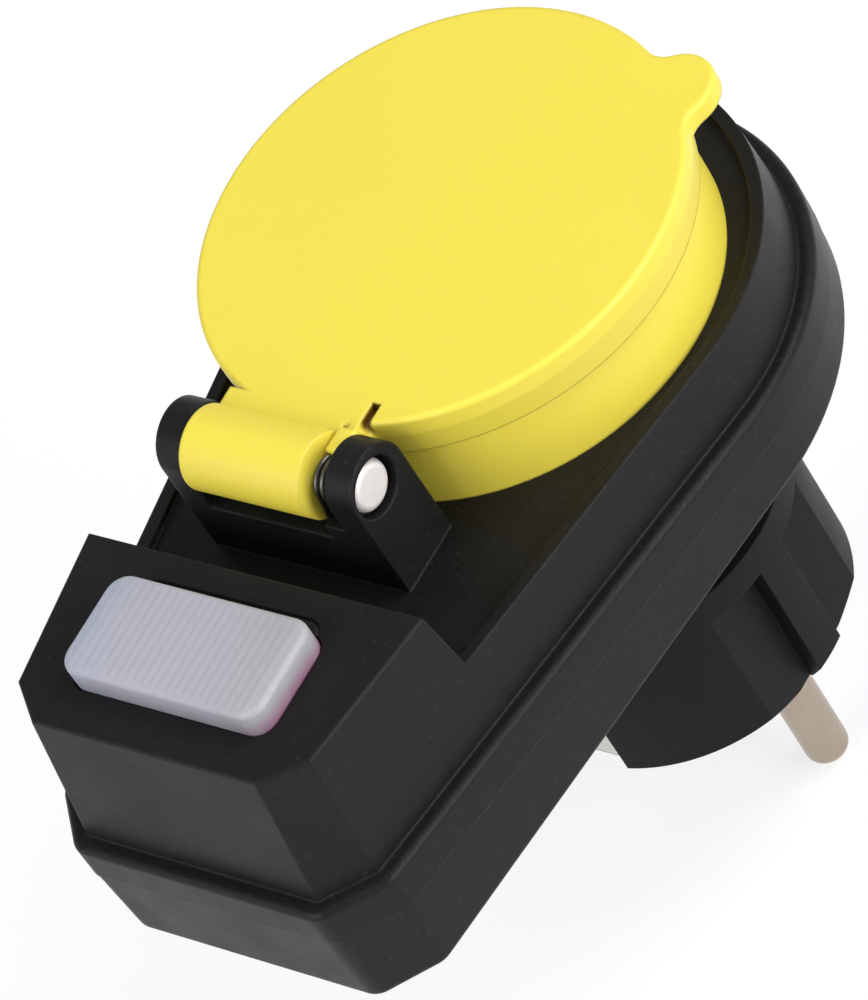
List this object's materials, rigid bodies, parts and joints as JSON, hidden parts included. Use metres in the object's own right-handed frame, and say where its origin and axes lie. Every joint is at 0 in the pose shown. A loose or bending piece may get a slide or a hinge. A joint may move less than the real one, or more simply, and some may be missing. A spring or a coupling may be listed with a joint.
{
  "type": "switched plug adapter",
  "caption": "Through adapter with a round earthed plug behind, a socket under a sprung yellow lid in front, and a lit rocker switch under a milky boot.",
  "frame": {"origin": "centre of the plug's end face, midway between the two pins where they leave it", "axes": "+Z out of the wall socket towards the lid, +Y away from the switch block, +X to the right seen from the front with the switch below"},
  "size_m": [0.058, 0.0951, 0.0869],
  "materials": {
    "black_shell": "fine-grained moulded black plastic",
    "black_plug": "satin moulded black plastic",
    "yellow_plastic": "smooth yellow moulded plastic",
    "milky_boot": "translucent milky flexible plastic with fine ribs",
    "red_rocker": "translucent red moulded plastic",
    "switch_black": "plain black moulded plastic",
    "white_carrier": "plain off-white moulded plastic",
    "grey_seal": "soft grey sealing foam",
    "zinc_screw": "zinc-plated steel",
    "nickel_pin": "nickel-plated, lightly brushed",
    "tinned_strap": "tinned spring metal",
    "brass_contact": "plain stamped brass",
    "spring_steel": "drawn spring wire",
    "lamp_glass": "clear glass with an orange glow"
  },
  "bodies": {
    "housing": {"front_housing": "black_shell", "rear_housing": "black_shell", "plug_body": "black_plug", "housing_seal": "grey_seal", "housing_screws": "zinc_screw", "neutral_pin": "nickel_pin", "live_pin": "nickel_pin", "plug_earth": "tinned_strap", "earth_clip": "tinned_strap", "earth_link": "tinned_strap", "socket_insert": "yellow_plastic", "contact_carrier": "white_carrier", "neutral_sleeve": "brass_contact", "live_sleeve": "brass_contact", "neutral_in_strip": "brass_contact", "live_in_strip": "brass_contact", "neutral_out_strip": "brass_contact", "live_out_strip": "brass_contact", "hinge_pin": "nickel_pin", "lid_spring": "spring_steel", "switch_boot": "milky_boot", "switch_frame": "switch_black", "switch_lamp": "lamp_glass", "switch_blades": "tinned_strap"},
    "lid": {"lid": "yellow_plastic", "lid_gasket": "grey_seal"},
    "rocker": {"switch_rocker": "red_rocker"}
  },
  "joints": [
    {"name": "lid_hinge", "type": "hinge", "parent": "housing", "child": "lid", "pos_m": [0, -0.0276, 0.0637], "axis": [1, 0, 0], "range_deg": [0, 110], "stiffness_Nm_per_rad": 0.01, "springref_deg": -57.3, "deforming": ["lid_spring"]},
    {"name": "rocker_tilt", "type": "hinge", "parent": "housing", "child": "rocker", "pos_m": [0, -0.048, 0.0554], "axis": [0, 1, 0], "range_deg": [0, 13]}
  ]
}
